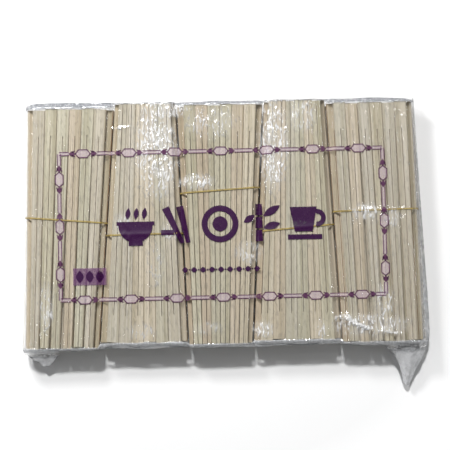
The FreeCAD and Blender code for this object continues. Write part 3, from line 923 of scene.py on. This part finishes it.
def addLink(lines, fills, centre, upright):
    # an elongated six-cornered ring, with a solid pointed knot and two small wings at each end
    half, high, slant = printed["linkLength"] / 2, printed["linkHeight"] / 2, printed["linkSlant"]
    top = [(-half, 0), (-half + slant, high), (half - slant, high)]
    corners = top + [(-u, -v) for u, v in top]
    outlineRing(lines, turned(centre, corners, upright), printed["stroke"])
    fillSix(fills, centre, half - 0.5 * mm, high - 0.4 * mm, slant, upright)
    knot = printed["knotLength"]
    for side in (-1, 1):
        reach = side * (half - 0.3 * mm)
        ends = turned(centre, [(reach, 0), (reach + side * knot, 0)], upright)
        leaf(lines, *ends, printed["knotHeight"], 1.5)
        for lean in (-1, 1):
            tip = (reach + side * 0.6 * mm, lean * 2.4 * mm)
            root = (reach + side * knot * 0.55, lean * 1.2 * mm)
            bar(lines, *turned(centre, [tip, root], upright), 0.8 * mm, 1.1 * mm)


def addRails(lines, fills, start, end, upright):
    # two thin lines with a pale field between them
    half = (printed["railHeight"] - printed["railStroke"]) / 2
    for side in (-1, 1):
        dx, dy = (side * half, 0) if upright else (0, side * half)
        bar(lines, *[(x + dx, y + dy) for x, y in (start, end)], printed["railStroke"])
    bar(fills, start, end, 2 * half)


def addBorder(lines, fills):
    # links at an even pitch on all four sides, and rails from knot to knot and into the corners
    halfX, halfY = printed["halfX"], printed["halfY"]
    reach = printed["linkLength"] / 2 + printed["knotLength"] - 0.8 * mm
    for upright, pitch, count, far, span in (
        (False, printed["linkPitch"], 7, halfY, halfX), (True, printed["sidePitch"], 3, halfX, halfY),
    ):
        places = [(n - (count - 1) / 2) * pitch for n in range(count)]
        stops = [-span] + [p + d for p in places for d in (-reach, reach)] + [span]
        for side in (-1, 1):
            for centre in turned((0, 0), [(place, side * far) for place in places], upright):
                addLink(lines, fills, centre, upright)
            for pair in zip(stops[::2], stops[1::2]):
                ends = turned((0, 0), [(stop, side * far) for stop in pair], upright)
                addRails(lines, fills, *ends, upright)


# Five simple pictures; at(u, v) is a place in millimetres from the picture's own middle

def drawBowl(layer, at):
    arcBand(layer, at(0, 1), 0.4 * mm, 14.5 * mm, 180, 360)
    bar(layer, at(-16, 2.6), at(16, 2.6), 3.2 * mm)
    bar(layer, at(-6, -14.4), at(6, -14.4), 3.6 * mm)
    for u in (-7, 0, 7):
        leaf(layer, at(u, 6), at(u + 1.5, 16), 4.2 * mm)


def drawSticks(layer, at):
    bar(layer, at(-11, 15), at(3, -15), 6.4 * mm, 3.6 * mm)
    bar(layer, at(1, 16), at(8, -15), 6.4 * mm, 3.6 * mm)
    bar(layer, at(-15, -6), at(-4, -6), 4.4 * mm)


def drawPlate(layer, at):
    arcBand(layer, at(0, 0), 10.6 * mm, 15.6 * mm, 0, 360)
    arcBand(layer, at(0, 0), 0.4 * mm, 6.4 * mm, 0, 360)


def drawBamboo(layer, at):
    for v in (-16, -5, 6):
        bar(layer, at(-3, v), at(-3, v + 9.6), 6.2 * mm, 5.4 * mm)
    leaf(layer, at(0.5, 5), at(15, 14), 6.4 * mm)
    leaf(layer, at(0.5, -5), at(15, -1), 6.4 * mm)
    leaf(layer, at(-6.5, 6), at(-16, 0), 5.6 * mm)


def drawCup(layer, at):
    bar(layer, at(-2.5, 12), at(-2.5, -9), 23 * mm, 15 * mm)
    arcBand(layer, at(9, 2.5), 3.4 * mm, 7.4 * mm, -100, 100)
    bar(layer, at(-16, -13.5), at(13, -13.5), 4.2 * mm)


def addPictures(layer):
    # each with its middle in millimetres
    for draw, x, y in (
        (drawBowl, -73.3, -1.0), (drawSticks, -36.8, -0.5), (drawPlate, -1.7, 0.0),
        (drawBamboo, 34.3, 0.6), (drawCup, 71.5, 1.0),
    ):
        draw(layer, lambda u, v: (x * mm + u * mm, y * mm + v * mm))


def addOrnaments(layer):
    # a row of small diamonds with dots between them
    middle, y = -1.6 * mm, -38.5 * mm
    pitch, count, half = 7.6 * mm, 9, 2.7 * mm
    for step in range(count):
        x = middle + (step - (count - 1) / 2) * pitch
        leaf(layer, (x - half, y), (x + half, y), 4.6 * mm)
        if step < count - 1:
            arcBand(layer, (x + pitch / 2, y), 0.1 * mm, 0.8 * mm, 0, 360)


def addPanel(field, layer):
    # a field of colour with three pointed ovals standing on it
    x, y, halfX, halfY = -112.6 * mm, -42.5 * mm, 14 * mm, 7.2 * mm
    bar(field, (x - halfX, y), (x + halfX, y), 2 * halfY)
    pitch, half = 8.4 * mm, 5.2 * mm
    for place in (x - pitch, x, x + pitch):
        leaf(layer, (place, y - half), (place, y + half), 6.4 * mm)


def makeInk(name, colour, cover):
    # ink on clear film: a matt colour over a see-through sheet, with thin spots from fine noise that
    # move the colour and its cover a little both ways
    material, n = newMaterial(name)
    speckle = n.noise(n.place(), printed["speckleScale"], 3.0)
    dark, pale = [tuple(share * c for c in colour) for share in (0.8, 1.25)]
    shade = n.ramp(speckle, [(0.3, dark), (0.7, pale)])
    ink = n.add("ShaderNodeBsdfPrincipled", {
        "Base Color": shade, "Roughness": 0.5, "Specular IOR Level": 0.2,
    })
    thin = n.ranged(speckle, min(cover + 0.12, 1.0), cover - 0.14, 0.35, 0.65)
    clear = n.add("ShaderNodeBsdfTransparent")
    n.finish(n.add("ShaderNodeMixShader", {"Fac": thin, 1: clear.outputs[0], 2: ink.outputs[0]}))
    return material


lines, fills, field, pictures = PrintLayer(), PrintLayer(), PrintLayer(), PrintLayer()
addBorder(lines, fills)
addPanel(field, pictures)
addPictures(pictures)
addOrnaments(pictures)
for layer, name, ink, colour, cover, above in (
    (lines, "print_border_lines", "purple line ink", "line", 0.9, "lineAbove"),
    (fills, "print_border_fields", "pink field ink", "pink", 0.4, "fieldAbove"),
    (field, "print_panel", "purple field ink", "field", 0.6, "fieldAbove"),
    (pictures, "print_pictures", "deep purple ink", "purple", 0.98, "lineAbove"),
):
    layer.piece(name, makeInk(ink, printed[colour], cover), printed[above])
print("print done")


# Floor, light and camera

studio = {
    "floorColour": (0.90, 0.90, 0.90),
    "floorLift": 0.15,       # added for the camera alone, so that the paper's corners turn white
    "liftFrom": 205 * mm,    # distances from the pack's middle
    "liftTo": 265 * mm,
    "floorReach": 6.0,
    "skyAbove": 0.17,
    "skyLevel": 0.03,
    "sun": 2.4,
    "sunAt": (-10, 54),      # azimuth and elevation in degrees, as for the other lights
    "windowPower": 2.9,
    "windowAt": (-32, 46.6),
    "glintPower": 0.22,
    "glintsAt": ((-110, 64), (-70, 60), (20, 62), (36, 62), (60, 64), (95, 62)),
}

view = {
    "tilt": 3.0,             # degrees towards -Y from straight above
    "roll": -1.2,
    "distance": 0.95,
    "aim": (2.5 * mm, -1.2 * mm, 31 * mm),
    "width": 450 * 0.846 * mm,  # the photograph's pixels, each so long on the pack
}


def makeFloor():
    # matt paper with a faint grain, plus a glow that only the camera and mirrors see, far from the pack
    material, n = newMaterial("white paper")
    path = n.add("ShaderNodeLightPath")
    seen = n.math("MAXIMUM", path.outputs["Is Camera Ray"], path.outputs["Is Glossy Ray"])
    away = n.add("ShaderNodeVectorMath", {0: n.place()}, operation="LENGTH").outputs["Value"]
    lift = n.ranged(away, 0.0, studio["floorLift"], studio["liftFrom"], studio["liftTo"])
    glow = n.add("ShaderNodeEmission", {"Strength": n.math("MULTIPLY", seen, lift)})
    grain = n.noise(n.place(), 900.0, 2.0)
    matt = n.add("ShaderNodeBsdfDiffuse", {
        "Color": (*studio["floorColour"], 1), "Normal": n.bump(grain, 0.05 * mm, 0.3),
    })
    n.finish(n.add("ShaderNodeAddShader", {0: matt.outputs[0], 1: glow.outputs[0]}))
    reach = studio["floorReach"]
    corners = np.array([(-reach, -reach, 0), (reach, -reach, 0), (reach, reach, 0), (-reach, reach, 0)])
    newPiece("floor", corners - (0, 0, 0.2 * mm), [[0, 1, 2, 3]], material, smooth=False)


def makeSky():
    # dimmer towards the horizon, and plain white where the camera sees it
    world = bpy.data.worlds.new("studio")
    bpy.context.scene.world = world
    n = Nodes(world, "ShaderNodeOutputWorld")
    height = n.add("ShaderNodeSeparateXYZ", {0: n.add("ShaderNodeTexCoord").outputs["Generated"]})
    strength = n.ranged(height.outputs["Z"], studio["skyLevel"], studio["skyAbove"], 0.0, 0.8)
    sky = n.add("ShaderNodeBackground", {"Color": (0.97, 0.985, 1.0, 1), "Strength": strength})
    white = n.add("ShaderNodeBackground", {"Color": (1, 1, 1, 1), "Strength": 1.0})
    camera = n.add("ShaderNodeLightPath").outputs["Is Camera Ray"]
    n.finish(n.add("ShaderNodeMixShader", {"Fac": camera, 1: sky.outputs[0], 2: white.outputs[0]}))


def addLight(name, kind, at, distance, size, power):
    # azimuth 0 stands at +Y, turning towards +X; the light faces the pack, and a sun's size is an angle
    azimuth, elevation = at
    a, e = math.radians(azimuth), math.radians(elevation)
    light = bpy.data.lights.new(name, kind)
    light.energy = power
    if kind == "SUN":
        light.angle = size
    else:
        light.shape = "DISK"
        light.size = size
    lamp = bpy.data.objects.new(name, light)
    away = np.array([math.sin(a) * math.cos(e), math.cos(a) * math.cos(e), math.sin(e)])
    lamp.location = away * distance
    lamp.rotation_euler = (-math.radians(90 - elevation), 0, -a)
    bpy.context.scene.collection.objects.link(lamp)


def makeCamera():
    # nearly straight above, as far back along its tilt as the distance says
    tilt, roll, distance = math.radians(view["tilt"]), math.radians(view["roll"]), view["distance"]
    camera = bpy.data.cameras.new("camera")
    camera.sensor_width = 36.0
    camera.lens = camera.sensor_width * distance / view["width"]
    camera.clip_start, camera.clip_end = 0.01, 20
    holder = bpy.data.objects.new("camera", camera)
    back = (math.sin(tilt) * math.sin(roll), -math.sin(tilt) * math.cos(roll), math.cos(tilt))
    holder.location = [a + b * distance for a, b in zip(view["aim"], back)]
    holder.rotation_euler = (tilt, 0, roll)
    bpy.context.scene.collection.objects.link(holder)
    bpy.context.scene.camera = holder


makeFloor()
makeSky()
addLight("sun", "SUN", studio["sunAt"], 2.0, math.radians(5), studio["sun"])
addLight("window", "AREA", studio["windowAt"], 0.69, 0.14, studio["windowPower"])
for at in studio["glintsAt"]:
    addLight(f"glint_{at[0]}", "AREA", at, 1.2, 0.07, studio["glintPower"])
makeCamera()
bpy.context.scene.view_settings.view_transform = "Standard"
print("studio done")
